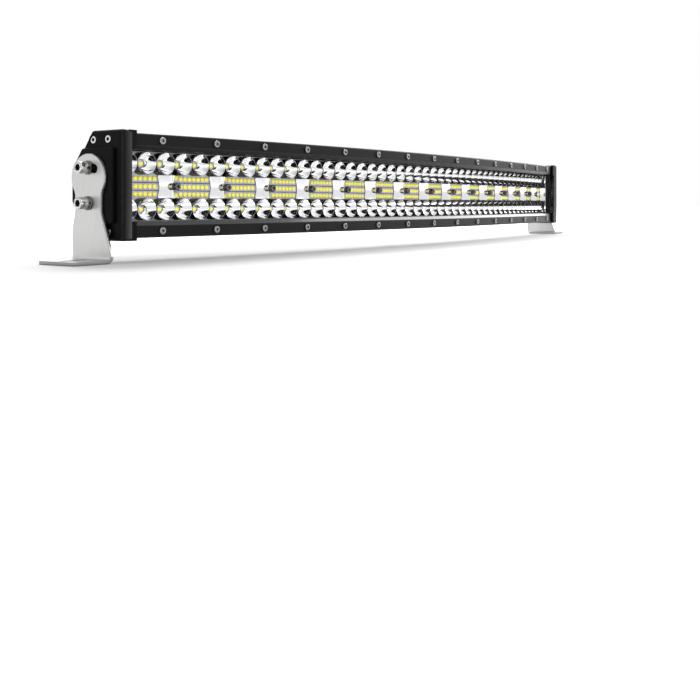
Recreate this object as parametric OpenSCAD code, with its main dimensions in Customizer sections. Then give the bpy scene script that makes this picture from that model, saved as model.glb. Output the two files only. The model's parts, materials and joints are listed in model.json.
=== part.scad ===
// Curved three-row LED light bar on two tilting stainless brackets.
// Sizes are in millimetres. X runs along the bar, the light leaves towards -Y and Z is up.
// The origin lies on the mounting plane, midway between the two foot slots.
// Depths are measured behind the bezel's face, and heights in the bar from its mid-height.

/* [Light field] */
// light modules on each of the five reflector strips
cells = 3; // [2:1:5]
// length of a module along the front
pitch = 50.8; // [50.2:0.2:53]
// radius that the front is swept to
sweep_r = 2400; // [2200:50:4000]
// small emitters in a row of a module's block
flood_n = 7; // [5:1:7]

/* [Housing] */
// height of the extruded housing
housing_h = 74.5; // [70:0.5:80]
// depth from the bezel's face to the tips of the fins
housing_d = 44.5; // [43.5:0.5:48]
// depth of the emitter boards' face
board_s = 27; // [26:0.5:28]
// distance between neighbouring cooling fins
fin_pitch = 5.2; // [4.8:0.1:5.4]

/* [Front] */
// thickness of the bezel strips
bezel_t = 3; // [2.5:0.1:3.5]
// thickness of the lens
lens_t = 3.5; // [3:0.1:4]

/* [End caps] */
// thickness of a cap along the bar
cap_w = 10; // [9:0.5:14]
// how far a cap's front lip stands before the bezel
lip_proud = 3.4; // [3:0.1:5]
// how far a cap stands above and below the housing
cap_rim = 1.75; // [1.5:0.05:3]
// height of the raised bracket pad on a cap
boss_t = 2.7; // [2:0.1:4]

/* [Brackets] */
// thickness of the bracket plate
plate_t = 2.5; // [2:0.1:3]
// height of the pivot above the mounting plane
pivot_z = 42; // [41:0.5:60]
// distance from the pivot bolt to the tilt bolt
bolt_gap = 25; // [24:0.5:26]
// tilt either way, in degrees
tilt = 15; // [6:1:16]
// length of the foot away from the bar
foot_l = 34; // [32:0.5:50]
// width of the foot
foot_w = 39.2; // [38:0.2:46]
// length of the slot in the foot
foot_slot_l = 22; // [12:0.5:22]
// width of the slot in the foot
foot_slot_w = 6.5; // [5:0.1:9]

/* [Hidden] */

$fn = 48;
arc_fn = 1440;             // facets in a full turn of the bar's sweep
eps = 0.01;

// Module layout along the sweep
strips = 5;
modules = strips * cells;
cell_a = pitch / sweep_r * 180 / PI;
half_run = sweep_r * sin(modules * cell_a / 2);
end_x = floor(half_run) + 2;
sagitta = sweep_r - sqrt(sweep_r * sweep_r - end_x * end_x);

// Places of the bracket, cap and bar
pivot_y = 4.1;
pivot_inset = 28.5;        // pivot behind the cap's front face
cap_front = pivot_y - pivot_inset;
centre_y = cap_front + lip_proud - sagitta + sweep_r;
mid_z = pivot_z + bolt_gap / 2;

// Stack of the front, by depth
lens_s = bezel_t;
gasket_t = 1;
seat_s = bezel_t + lens_t + gasket_t;
cup_h = 9;                 // height of the reflectors
reflector_s = board_s - cup_h;
board_t = 1.6;
pad_t = 0.5;
floor_s = board_s + board_t + pad_t;
tunnel_s = floor_s + 2.2;
tunnel_d = 7.2;
back_s = tunnel_s + tunnel_d + 2;
fin_root_s = tunnel_s + 1;

// Heights in the bar
half_h = housing_h / 2;
row_z = half_h - 4.75;     // bezel screws
lens_z = row_z - 1.9;
bezel_z = lens_z - 5.1;    // inner edge of the bezel strips
cavity_z = lens_z - 4.4;
board_z = cavity_z - 0.3;
tunnel_z = 2.75 * fin_pitch;
light_h = 2 * cavity_z - 1.6;   // height of a reflector
row_h = light_h / 3;       // height of each row of light
fin_gap = 3.2;
chamfer_s = 26.5;          // depth at which the housing starts to taper
chamfer_k = 1.4;           // height lost for each millimetre of depth
tip_z = half_h - chamfer_k * (housing_d - chamfer_s);

// Cap and bracket stations along X, as distances from the middle
cap_gasket_t = 1;
cap_x0 = end_x + cap_gasket_t;
cap_x1 = cap_x0 + cap_w;
boss_x = cap_x1 + boss_t;
play = 0.3;
plate_x0 = boss_x + play;
plate_x1 = plate_x0 + plate_t;
washer_t = 1;
spring_t = 1.4;
washer_x = plate_x1 + play;
spring_x = washer_x + washer_t;
head_x = spring_x + spring_t;
cap_half_h = half_h + cap_rim;
cap_d = housing_d + lip_proud + 2.1;
cap_taper_y = cap_front + 31;
cap_back = cap_front + cap_d;
cap_tip_z = cap_half_h - chamfer_k * (cap_back - cap_taper_y);
lip_reach = 4.4;           // cap lips over the ends of the bezels
lip_t = lip_proud - 0.3 - lip_reach * end_x / sweep_r;
cap_screw_inset = 14.6;    // first cap screws behind the cap's front face
cap_screw_gap = 15;
cap_screw_y = [cap_front + cap_screw_inset, cap_front + cap_screw_inset + cap_screw_gap];
cap_screw_z = row_z;

// Fasteners
bezel_screw_r = 1.5;
bezel_head_r = 2.75;
bezel_head_h = 1.65;
bezel_head_edge = 0.75;
bezel_socket_r = 1.15;
bezel_socket_d = 1.1;
cap_screw_r = 1.5;
cap_head_r = 2.75;
cap_head_h = 3;
cap_socket_r = 1.45;
cap_socket_d = 2.2;
bolt_r = 2.5;
bolt_head_r = 4.25;
bolt_head_h = 6.5;
bolt_socket_r = 2.3;
bolt_socket_d = 3.5;
hole_slack = 0.2;          // screw holes over the radius of the screws
bolt_slack = 0.15;         // washers and bezels over the radius of theirs
slot_r = 3;                // half the width of the tilt slot
stop_a = tilt + play / bolt_gap * 180 / PI;

// Point of a section, by depth and height
function at(s, z) = [-s, z];

module band(s0, s1, z0, z1) translate(at(s1, z0)) square([s1 - s0, z1 - z0]);

module both_ways() {
    children();
    mirror([0, 1]) children();
}

// A section swept about the bar's centre of curvature, from angle a0 to a1
module swept(a0, a1)
    translate([0, centre_y, mid_z]) rotate(a0 - 90)
        rotate_extrude(angle = a1 - a0, $fn = arc_fn) translate([sweep_r, 0]) children();

// A section swept along the whole bar, with ends square to X
module full_sweep(half_x) {
    a = asin(half_x / (sweep_r - housing_d)) + 0.3;
    intersection() {
        swept(-a, a) children();
        translate([-half_x, centre_y - sweep_r - housing_d, mid_z - housing_h])
            cube([2 * half_x, sagitta + 3 * housing_d, 2 * housing_h]);
    }
}

// A place on the front's sweep, i modules from the left one
module at_cell(i, s = 0, z = 0)
    translate([0, centre_y, mid_z]) rotate((i - (modules - 1) / 2) * cell_a)
        translate([0, s - sweep_r, z]) children();

module along_y(h, r, r2 = undef) rotate([-90, 0, 0]) cylinder(h = h, r1 = r, r2 = is_undef(r2) ? r : r2);

// Pieces drawn at the left end, moved to the end that is wanted
module end(side) mirror([side == "left" ? 0 : 1, 0, 0]) children();

// A disc, hole or shank at the left end, running inwards from x0 to x1 as distances from the middle
module end_pin(x0, x1, r, y, z) translate([-x1, y, z]) rotate([0, 90, 0]) cylinder(h = x1 - x0, r = r);

// Hollow in the upper and lower wall of the housing
side_s0 = 15;
side_s1 = 22.5;
side_in = 3.3;
side_out = 3;

module housing_section() {
    difference() {
        polygon([at(bezel_t, half_h), at(chamfer_s, half_h), at(housing_d, tip_z),
            at(housing_d, -tip_z), at(chamfer_s, -half_h), at(bezel_t, -half_h)]);
        band(bezel_t - 1, floor_s, -cavity_z, cavity_z);
        band(bezel_t - 1, seat_s, -lens_z, lens_z);
        band(tunnel_s, tunnel_s + tunnel_d, -tunnel_z, tunnel_z);
        both_ways() {
            band(side_s0, side_s1, cavity_z + side_in, half_h - side_out);
            for (k = [0:4]) {
                z = (k + 0.5) * fin_pitch;
                band(k < 3 ? back_s : fin_root_s, housing_d + 1, z - fin_gap / 2, z + fin_gap / 2);
            }
        }
    }
}

gland_i = (modules - 1) / 2;
vent_i = (modules - 1) / 2 + 1.5;
pocket_r = 13;
gland_r = 6;
vent_r = 4;
link_r = 1.5;
link_dx = 6;
link_slack = 1;
thread_l = 3;              // length of the gland's and the vent's thread in the housing
bezel_screw_l = 6;         // bezel screws behind the bezel
cap_screw_l = 11;          // cap screws in the housing
driver_is = [for (d = [-1:1]) (modules - 1) / 2 + d * modules / 3];
bezel_is = [for (i = [0:modules - 1]) i];

module housing() color("#1c1c1d") difference() {
    full_sweep(end_x) housing_section();
    for (i = bezel_is, z = [-row_z, row_z])
        at_cell(i, bezel_t - 1, z) along_y(bezel_screw_l + 3, bezel_screw_r);
    for (i = driver_is, x = [-link_dx, link_dx])
        at_cell(i, floor_s - 1) translate([x, 0, 0]) along_y(tunnel_s - floor_s + 2, link_r + link_slack);
    for (i = [gland_i, vent_i]) at_cell(i, back_s) along_y(20, pocket_r);
    at_cell(gland_i, back_s - thread_l - 1) along_y(thread_l + 2, gland_r);
    at_cell(vent_i, back_s - thread_l - 1) along_y(thread_l + 2, vent_r);
    for (side = ["left", "right"]) end(side)
        for (y = cap_screw_y, z = [-cap_screw_z, cap_screw_z])
            end_pin(end_x - cap_screw_l - 1, end_x + 1, cap_screw_r, y, mid_z + z);
}

bezel_edge = 0.8;          // chamfer of the outer edge
bevel_s = 1.8;             // bevel along the inner edge, by depth and height
bevel_h = 2.8;

module bezel(up) difference() {
    full_sweep(end_x) mirror([0, up ? 0 : 1])
        polygon([at(0, half_h - bezel_edge), at(bezel_edge, half_h), at(bezel_t, half_h),
            at(bezel_t, bezel_z), at(bevel_s, bezel_z), at(0, bezel_z + bevel_h)]);
    for (i = bezel_is)
        at_cell(i, -1, up ? row_z : -row_z) along_y(bezel_t + 2, bezel_screw_r + bolt_slack);
}

module upper_bezel() color("#222224") bezel(true);

module lower_bezel() color("#222224") bezel(false);

module bezel_screws() color("#c9c9c6")
    for (i = bezel_is, z = [-row_z, row_z]) at_cell(i, 0, z) difference() {
        union() {
            translate([0, -bezel_head_h, 0])
                along_y(bezel_head_edge, bezel_head_r - bezel_head_edge, bezel_head_r);
            translate([0, bezel_head_edge - bezel_head_h, 0])
                along_y(bezel_head_h - bezel_head_edge, bezel_head_r);
            along_y(bezel_t + bezel_screw_l, bezel_screw_r);
        }
        translate([0, -bezel_head_h - 1, 0]) along_y(bezel_socket_d + 1, bezel_socket_r, $fn = 6);
    }

lens_play = 0.25;
lens_end_gap = 0.5;
gasket_inset = 0.8;

module front_lens() color([0.9, 0.95, 1, 0.25])
    full_sweep(end_x - lens_end_gap)
        band(lens_s, lens_s + lens_t, lens_play - lens_z, lens_z - lens_play);

module lens_gaskets() color("#2b2b2b")
    full_sweep(end_x - lens_end_gap) both_ways()
        band(seat_s - gasket_t, seat_s, cavity_z + gasket_inset, lens_z - lens_play);

// Radius of a cup's bowl, by the distance before the board
cup_r0 = 2.9;
cup_rim = 0.42;            // half of the land between two cups
cup_r1 = min(pitch / 3, row_h) / 2 - cup_rim;
cup_steps = 5;
function cup_r(t) = pow(pow(cup_r0, 3) + (pow(cup_r1, 3) - pow(cup_r0, 3)) * max(t, 0) / cup_h, 1 / 3);

cup_ts = concat([-1], [for (k = [0:cup_steps]) k / cup_steps * cup_h], [cup_h + 0.4]);

module cup() rotate([90, 0, 0]) rotate_extrude($fn = 96)
    polygon(concat([[0, cup_ts[0]]], [for (t = cup_ts) [cup_r(t), t]], [[0, cup_h + 0.4]]));

cup_xs = [-pitch / 3, 0, pitch / 3];
ridge_h = 6.4;             // ridge between two dishes: its height, and half its width at the foot and the top
ridge_foot = 8.4;
ridge_top = 0.8;
dish_r0 = pitch / 2 - ridge_foot;
dish_r1 = pitch / 2 - ridge_top;

// One cap screw stands on a seat between each two modules
post_r = 2.75;
post_h = 4.2;
post_edge = 0.6;
post_socket_r = 1.3;
post_socket_d = 2;
seat_rim = 0.35;
seat_r = post_r + seat_rim;

// What is hollowed out of one module of a reflector: six cups and a round dish between them
module reflector_hollows(i) {
    at_cell(i, board_s) for (x = cup_xs, z = [-row_h, row_h]) translate([x, 0, z]) cup();
    difference() {
        at_cell(i, board_s) intersection() {
            union() {
                translate([0, 1, 0]) rotate([90, 0, 0])
                    cylinder(h = ridge_h + 2, r1 = dish_r0 - (dish_r1 - dish_r0) / ridge_h,
                        r2 = dish_r1 + (dish_r1 - dish_r0) / ridge_h, $fn = 96);
                translate([-pitch / 2, -cup_h - 2, -row_h]) cube([pitch, cup_h + 2 - ridge_h, 2 * row_h]);
            }
            translate([-pitch, -cup_h - 2, 0.1 - row_h / 2]) cube([2 * pitch, cup_h + 4, row_h - 0.2]);
        }
        for (d = [-0.5, 0.5]) at_cell(i + d, reflector_s - 2) along_y(cup_h + 4, seat_r);
    }
}

// A strip is drawn at the bar's middle and turned to its place along the sweep
mid_strip = (strips + 1) / 2;

module at_strip(n) translate([0, centre_y, 0]) rotate((n - mid_strip) * cells * cell_a)
    translate([0, -centre_y, 0]) children();

// Angle by which a strip stops short of its end joints; the two outer ones run on there, under a wall
strip_gap_a = 0.003;
run_on_a = 0.03;
function outer(n, k) = n == 1 && k == 0 || n == strips && k == cells;
function gap_a(n, k) = outer(n, k) ? -run_on_a : k == 0 || k == cells ? strip_gap_a : 0;

// Corner of a strip's plan at one of its joints: the modules are flat, each square to the sweep at its middle
function strip_corner(n, k, s) = let (a = (k - cells / 2) * cell_a + (k == 0 ? 1 : -1) * gap_a(n, k),
    r = (sweep_r - s) / cos(cell_a / 2 - gap_a(n, k))) [r * sin(a), centre_y - r * cos(a)];

// Wall that closes the light field at an end of the bar, on the outermost module
wall_s = 8;
wall_t = 1;
wall_x = pitch / 2 + 0.4;

module end_wall(k, side) at_cell((mid_strip - 1) * cells + k, wall_s)
    translate([side * wall_x - wall_t / 2, 0, -light_h / 2])
        cube([wall_t, board_s - ridge_h + 1 - wall_s, light_h]);

module reflector(n) color("#e6e6e8") at_strip(n) {
    difference() {
        translate([0, 0, mid_z - light_h / 2]) linear_extrude(light_h)
            polygon(concat([for (k = [0:cells]) strip_corner(n, k, reflector_s)],
                [for (k = [0:cells]) strip_corner(n, cells - k, board_s)]));
        for (k = [0:cells - 1]) reflector_hollows((mid_strip - 1) * cells + k);
        for (k = [0:cells]) if (!outer(n, k))
            at_cell((mid_strip - 1) * cells + k - 0.5, reflector_s - 1)
                along_y(cup_h + 2, bezel_screw_r + hole_slack);
    }
    if (n == 1) end_wall(0, -1);
    if (n == strips) end_wall(cells - 1, 1);
}

// Depth of the seats, where the flat modules stand a little before the sweep
ridge_s = reflector_s - (sweep_r - reflector_s) * (1 / cos(cell_a / 2) - 1) - 0.02;

module reflector_screws() color("#3a3a3c")
    for (i = [0:modules - 2]) at_cell(i + 0.5, ridge_s) difference() {
        union() {
            translate([0, -post_h, 0]) along_y(post_edge, post_r - post_edge, post_r);
            translate([0, post_edge - post_h, 0]) along_y(post_h - post_edge, post_r);
            along_y(cup_h, bezel_screw_r);
        }
        translate([0, -post_h - 1, 0]) along_y(post_socket_d + 1, post_socket_r, $fn = 6);
    }

board_gap_a = 0.006;

module board_span(n, s0, s1, half_z)
    swept((n - 1 - strips / 2) * cells * cell_a + board_gap_a,
            (n - strips / 2) * cells * cell_a - board_gap_a)
        band(s0, s1, -half_z, half_z);

module led_board(n) color("#dfe3ee") board_span(n, board_s, board_s + board_t, board_z);

block_w = 30;              // width of a module's block of emitters
flood_dx = block_w / flood_n;
flood_dz = 0.35 * row_h;
flood_w = 0.9 * flood_dx;
flood_h = 3.8;
flood_t = 1.1;
spot_w = 3.5;
spot_t = 0.8;
dome_h = 1.7;              // dome on an emitter, with its radius at the top and the foot
dome_r0 = 1.3;
dome_r1 = 1.65;
dome_sink = 0.2;

module flood_leds() color("#f2ea3a")
    for (i = bezel_is, k = [0:flood_n - 1], j = [-1:1])
        at_cell(i, board_s - flood_t, j * flood_dz)
            translate([(k - (flood_n - 1) / 2) * flood_dx - flood_w / 2, 0, -flood_h / 2])
                cube([flood_w, flood_t - eps, flood_h]);

module spot_leds(z) color("#f2ea3a")
    for (i = bezel_is, x = cup_xs) at_cell(i, board_s, z) translate([x, 0, 0]) {
        translate([-spot_w / 2, -spot_t, -spot_w / 2]) cube([spot_w, spot_t - eps, spot_w]);
        translate([0, -spot_t - dome_h, 0]) along_y(dome_h + dome_sink, dome_r0, dome_r1);
    }

module upper_spot_leds() spot_leds(row_h);

module lower_spot_leds() spot_leds(-row_h);

module thermal_pads() color("#8f97a3") difference() {
    for (n = [1:strips]) board_span(n, board_s + board_t, floor_s, board_z);
    for (i = driver_is, x = [-link_dx, link_dx])
        at_cell(i, board_s + board_t - 1) translate([x, 0, 0]) along_y(pad_t + 2, link_r + link_slack);
}

driver_s = tunnel_s + 0.8;
driver_t = 1.2;
driver_w = 90;
driver_h = 24;
part_s = driver_s + driver_t;
inductor_dx = 32;
inductor_w = 10;
inductor_h = 3;
coil_r = 4;
coil_h = 1.6;
capacitor_dx = 14;
capacitor_dz = 6;
capacitor_r = 3.15;
capacitor_h = 4.8;
chip_dx = 22;
chip_w = 5;
chip_l = 6;
chip_h = 1.5;

module driver_boards() color("#1f6b3a")
    for (i = driver_is) at_cell(i, driver_s)
        translate([-driver_w / 2, 0, -driver_h / 2]) cube([driver_w, driver_t, driver_h]);

module driver_inductors() color("#4a4b4e")
    for (i = driver_is, x = [-inductor_dx, inductor_dx]) at_cell(i, part_s) translate([x, 0, 0]) {
        translate([-inductor_w / 2, 0, -inductor_w / 2]) cube([inductor_w, inductor_h, inductor_w]);
        translate([0, inductor_h, 0]) along_y(coil_h, coil_r);
    }

module driver_capacitors() color("#b9bcc2")
    for (i = driver_is, x = [-capacitor_dx, capacitor_dx], z = [-capacitor_dz, capacitor_dz])
        at_cell(i, part_s, z) translate([x, 0, 0]) along_y(capacitor_h, capacitor_r);

module driver_chips() color("#202022")
    for (i = driver_is, x = [-chip_dx, 0, chip_dx]) at_cell(i, part_s)
        translate([x - chip_w / 2, 0, -chip_l / 2]) cube([chip_w, chip_h, chip_l]);

module board_links() color("#b87333")
    for (i = driver_is, x = [-link_dx, link_dx]) at_cell(i, board_s + board_t)
        translate([x, eps, 0]) along_y(driver_s - board_s - board_t - eps, link_r);

// Outline of a cap seen from its end, with its pad and gasket drawn in from it
module cap_outline(inset = 0, front = 0) {
    y0 = cap_front + inset + front;
    y1 = cap_taper_y - 0.6 * inset;
    y2 = cap_back - inset;
    z0 = cap_half_h - inset;
    z1 = cap_tip_z - 0.3 * inset;
    polygon([[y0, z0], [y1, z0], [y2, z1], [y2, -z1], [y1, -z0], [y0, -z0]]);
}

// A section in Y and Z, made solid between two stations of the left end
module end_slab(x0, x1)
    translate([-x1, 0, mid_z]) rotate([90, 0, 90]) linear_extrude(x1 - x0) children();

corner_r = 3;
boss_half_h = cap_half_h - 12.5;
boss_front = 6.5;
boss_inset = 1.5;
counterbore = 0.55;        // room round the heads of the cap screws

module end_cap() difference() {
    union() {
        intersection() {
            end_slab(cap_x0, cap_x1) cap_outline();
            translate([-cap_x1 + corner_r, cap_front + corner_r, mid_z - housing_h]) union() {
                translate([-corner_r, 0, 0]) cube([cap_w + 1, cap_d + 1, 2 * housing_h]);
                translate([0, -corner_r, 0]) cube([cap_w, cap_d, 2 * housing_h]);
                cylinder(h = 2 * housing_h, r = corner_r);
            }
        }
        for (z = [-cap_half_h, bezel_z]) translate([-cap_x0 - eps, cap_front, mid_z + z])
            cube([lip_reach + eps, lip_t, cap_half_h - bezel_z]);
        intersection() {
            end_slab(cap_x1 - eps, boss_x) cap_outline(inset = boss_inset, front = boss_front - boss_inset);
            translate([-boss_x - 1, cap_front, mid_z - boss_half_h])
                cube([boss_t + 2, cap_d, 2 * boss_half_h]);
        }
    }
    for (y = cap_screw_y, z = [-cap_screw_z, cap_screw_z]) {
        end_pin(cap_x0 - 1, cap_x1 + 1, cap_screw_r + hole_slack, y, mid_z + z);
        end_pin(cap_x1 - cap_head_h, cap_x1 + 1, cap_head_r + counterbore, y, mid_z + z);
    }
    for (z = [pivot_z, pivot_z + bolt_gap]) end_pin(cap_x0 + 1, boss_x + 1, bolt_r, pivot_y, z);
}

module left_end_cap() color("#232325") end("left") end_cap();

module right_end_cap() color("#232325") end("right") end_cap();

gasket_front = 17;         // opening of the gasket behind the cap's front
gasket_z = cavity_z - 1.2;
gasket_margin = 2.2;       // from the cap's outline to the gasket's

module cap_gasket() difference() {
    end_slab(end_x, cap_x0) cap_outline(inset = gasket_margin, front = lip_proud);
    translate([-cap_x0 - 1, cap_front + gasket_front, mid_z - gasket_z])
        cube([cap_gasket_t + 2, cap_taper_y - 1 - cap_front - gasket_front, 2 * gasket_z]);
    for (y = cap_screw_y, z = [-cap_screw_z, cap_screw_z])
        end_pin(end_x - 1, cap_x0 + 1, cap_screw_r + hole_slack, y, mid_z + z);
}

module left_cap_gasket() color("#303030") end("left") cap_gasket();

module right_cap_gasket() color("#303030") end("right") cap_gasket();

head_sink = 0.2;           // cap screw heads below the cap's face

module cap_screws() for (y = cap_screw_y, z = [-cap_screw_z, cap_screw_z]) difference() {
    union() {
        end_pin(cap_x1 - cap_head_h, cap_x1 - head_sink, cap_head_r, y, mid_z + z);
        end_pin(end_x - cap_screw_l, cap_x1 - cap_head_h, cap_screw_r, y, mid_z + z);
    }
    translate([-cap_x1 - 1, y, mid_z + z]) rotate([0, 90, 0])
        cylinder(h = cap_socket_d + 1, r = cap_socket_r, $fn = 6);
}

module left_cap_screws() color("#cfcfcc") end("left") cap_screws();

module right_cap_screws() color("#cfcfcc") end("right") cap_screws();

// Plate of the bracket seen from the end, with the pivot at its own zero
head_r = 17;
head_c = 18;
waist = 13.3;
neck_r = 8;
neck_y = waist + neck_r;
neck_z = head_c - sqrt(pow(head_r + neck_r, 2) - neck_y * neck_y);
pivot_slack = 0.05;
bend_r = 2.5;              // inside radius of the bend
bend_z = bend_r + plate_t - pivot_z;
flare_z = -6.3;
hip_y = 1.3;               // bulge of the plate's rear edge under the flare
hip_z = 13;
foot_y0 = -foot_w / 2 - pivot_y;
foot_y1 = foot_w / 2 - pivot_y;

module plate_outline() {
    translate([0, head_c]) circle(head_r, $fn = 96);
    for (m = [0, 1]) mirror([m, 0]) difference() {
        translate([0, neck_z]) square([neck_y * head_r, (head_c - neck_z) * neck_r] / (head_r + neck_r));
        translate([neck_y, neck_z]) circle(neck_r, $fn = 96);
    }
    polygon([[waist, neck_z + eps], [waist, flare_z], [foot_y1 + hip_y, flare_z - hip_z], [foot_y1, bend_z],
        [foot_y0, bend_z], [-waist, flare_z], [-waist, neck_z + eps]]);
}

// Foot seen from above: a slotted tongue with round outer corners
foot_corner = 5;
foot_x0 = plate_x0 + plate_t + bend_r;
foot_x1 = plate_x0 + foot_l;
slot_x = (foot_x0 + foot_x1 - 1) / 2;

module foot_outline() difference() {
    union() {
        translate([-foot_x1 + foot_corner, -foot_w / 2]) square([foot_x1 - foot_x0 - foot_corner, foot_w]);
        translate([-foot_x1, -foot_w / 2 + foot_corner])
            square([foot_corner + eps, foot_w - 2 * foot_corner]);
        for (y = [-1, 1])
            translate([-foot_x1 + foot_corner, y * (foot_w / 2 - foot_corner)]) circle(foot_corner);
    }
    translate([-slot_x - foot_slot_l / 2 + foot_slot_w / 2, -foot_slot_w / 2])
        square([foot_slot_l - foot_slot_w, foot_slot_w]);
    for (d = [-1, 1]) translate([-slot_x + d * (foot_slot_l - foot_slot_w) / 2, 0]) circle(d = foot_slot_w);
}

module bracket() {
    difference() {
        translate([-plate_x1, pivot_y, pivot_z]) rotate([90, 0, 90]) linear_extrude(plate_t) plate_outline();
        end_pin(plate_x0 - 1, plate_x1 + 1, bolt_r + pivot_slack, pivot_y, pivot_z);
        translate([-plate_x1 - 1, pivot_y, pivot_z]) rotate([90, 0, 90]) rotate(90 - stop_a)
            rotate_extrude(angle = 2 * stop_a, $fn = 360) translate([bolt_gap - slot_r, 0])
                square([2 * slot_r, plate_t + 2]);
        for (a = [-stop_a, stop_a])
            end_pin(plate_x0 - 1, plate_x1 + 1, slot_r,
                pivot_y + bolt_gap * sin(a), pivot_z + bolt_gap * cos(a));
    }
    intersection() {
        translate([-foot_x0, foot_w / 2, plate_t + bend_r]) rotate([90, 0, 0]) difference() {
            cylinder(h = foot_w, r = bend_r + plate_t);
            translate([0, 0, -1]) cylinder(h = foot_w + 2, r = bend_r);
        }
        translate([-foot_x0, -foot_w / 2, 0]) cube([bend_r + plate_t, foot_w, bend_r + plate_t]);
    }
    linear_extrude(plate_t) foot_outline();
}

module left_bracket() color("#c4c4c2") end("left") bracket();

module right_bracket() color("#c4c4c2") end("right") bracket();

module bolt(z) difference() {
    union() {
        end_pin(head_x, head_x + bolt_head_h, bolt_head_r, pivot_y, z);
        end_pin(cap_x0 + 2, head_x, bolt_r, pivot_y, z);
    }
    translate([-head_x - bolt_head_h - 1, pivot_y, z]) rotate([0, 90, 0])
        cylinder(h = bolt_socket_d + 1, r = bolt_socket_r, $fn = 6);
}

module left_pivot_bolt() color("#bdbdbb") end("left") bolt(pivot_z);

module right_pivot_bolt() color("#bdbdbb") end("right") bolt(pivot_z);

module left_tilt_bolt() color("#bdbdbb") end("left") bolt(pivot_z + bolt_gap);

module right_tilt_bolt() color("#bdbdbb") end("right") bolt(pivot_z + bolt_gap);

washer_r = 5;
spring_r = 4.4;
split_w = 1;

module washers() for (z = [pivot_z, pivot_z + bolt_gap]) difference() {
    end_pin(washer_x, spring_x, washer_r, pivot_y, z);
    end_pin(washer_x - 1, spring_x + 1, bolt_r + bolt_slack, pivot_y, z);
}

module left_washers() color("#c8c8c6") end("left") washers();

module right_washers() color("#c8c8c6") end("right") washers();

// A split ring under each bolt's head
module spring_washers() for (z = [pivot_z, pivot_z + bolt_gap]) difference() {
    end_pin(spring_x, head_x, spring_r, pivot_y, z);
    end_pin(spring_x - 1, head_x + 1, bolt_r + bolt_slack, pivot_y, z);
    translate([-head_x - 1, pivot_y - spring_r - 1, z - split_w / 2])
        cube([spring_t + 2, spring_r + 1, split_w]);
}

module left_spring_washers() color("#8e8e8c") end("left") spring_washers();

module right_spring_washers() color("#8e8e8c") end("right") spring_washers();

// Cable gland on the back: a threaded body, a rubber seal and a dome nut
gland_bore = 3.3;
gland_hex = 4;
gland_hex_r = 8.6;
gland_barrel = 8;
barrel_r = 5.5;
seal_r = 4.5;
seal_s = gland_hex + 2;
nut_s = gland_hex + 0.5;
nut_hex = 5;
nut_hex_r = 8.1;
nut_h = 7;
nut_r = 7;
nut_dome = 3.5;
nut_tip_r = 5;

module gland_body() color("#1d1d1f") at_cell(gland_i, back_s) difference() {
    union() {
        translate([0, -thread_l, 0]) along_y(thread_l, gland_r);
        along_y(gland_hex, gland_hex_r, $fn = 6);
        along_y(gland_hex + gland_barrel, barrel_r);
    }
    translate([0, -thread_l - 1, 0]) along_y(20, gland_bore);
    translate([0, seal_s, 0]) along_y(20, seal_r);
}

module gland_seal() color("#2d2d2f") at_cell(gland_i, back_s + seal_s) difference() {
    along_y(gland_barrel - 1, seal_r);
    translate([0, -1, 0]) along_y(20, gland_bore);
}

module gland_nut() color("#1d1d1f") at_cell(gland_i, back_s + nut_s) difference() {
    union() {
        along_y(nut_hex, nut_hex_r, $fn = 6);
        along_y(nut_h, nut_r);
        translate([0, nut_h, 0]) along_y(nut_dome, nut_r, nut_tip_r);
    }
    translate([0, -1, 0]) along_y(gland_barrel + 0.5, barrel_r);
    along_y(gland_barrel + 0.5, seal_r + 0.3);
    along_y(20, gland_bore + 0.3);
}

// Breather on the back: a hexagon and a cover with three slits, on a flat seal
vent_seal_t = 1;
vent_seal_r = 5.8;
vent_hex = 3;
vent_hex_r = 7;
cover_s = vent_seal_t + vent_hex;
cover_h = 1.5;
cover_r0 = 5.5;
cover_r1 = 4.5;
vent_bore = 1.6;
slit_s = 0.2;
slit_w = 0.6;
slit_h = 0.8;

module breather_vent() color("#1d1d1f") at_cell(vent_i, back_s) difference() {
    union() {
        translate([0, -thread_l, 0]) along_y(thread_l + vent_seal_t, vent_r);
        translate([0, vent_seal_t, 0]) along_y(vent_hex, vent_hex_r, $fn = 6);
        translate([0, cover_s, 0]) along_y(cover_h, cover_r0, cover_r1);
    }
    translate([0, -thread_l - 1, 0]) along_y(thread_l + cover_s, vent_bore);
    for (a = [0, 60, 120]) rotate([0, a, 0])
        translate([-cover_r0 - 0.5, cover_s + slit_s, -slit_h / 2]) cube([2 * cover_r0 + 1, slit_w, slit_h]);
}

module vent_seal() color("#303032") at_cell(vent_i, back_s) difference() {
    along_y(vent_seal_t, vent_seal_r);
    translate([0, -1, 0]) along_y(vent_seal_t + 2, vent_r);
}

housing();
upper_bezel();
lower_bezel();
bezel_screws();
front_lens();
lens_gaskets();
for (n = [1:strips]) reflector(n);
reflector_screws();
for (n = [1:strips]) led_board(n);
flood_leds();
upper_spot_leds();
lower_spot_leds();
thermal_pads();
driver_boards();
driver_inductors();
driver_capacitors();
driver_chips();
board_links();
left_end_cap();
right_end_cap();
left_cap_gasket();
right_cap_gasket();
left_cap_screws();
right_cap_screws();
left_bracket();
right_bracket();
left_pivot_bolt();
right_pivot_bolt();
left_tilt_bolt();
right_tilt_bolt();
left_washers();
right_washers();
left_spring_washers();
right_spring_washers();
gland_body();
gland_seal();
gland_nut();
breather_vent();
vent_seal();
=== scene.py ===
"""Curved three-row LED light bar on two tilting stainless brackets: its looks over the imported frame.

Lengths are in metres, in the frame of the solids: X along the bar, light towards -Y, Z up from the feet.
"""
import json
import math

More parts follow.
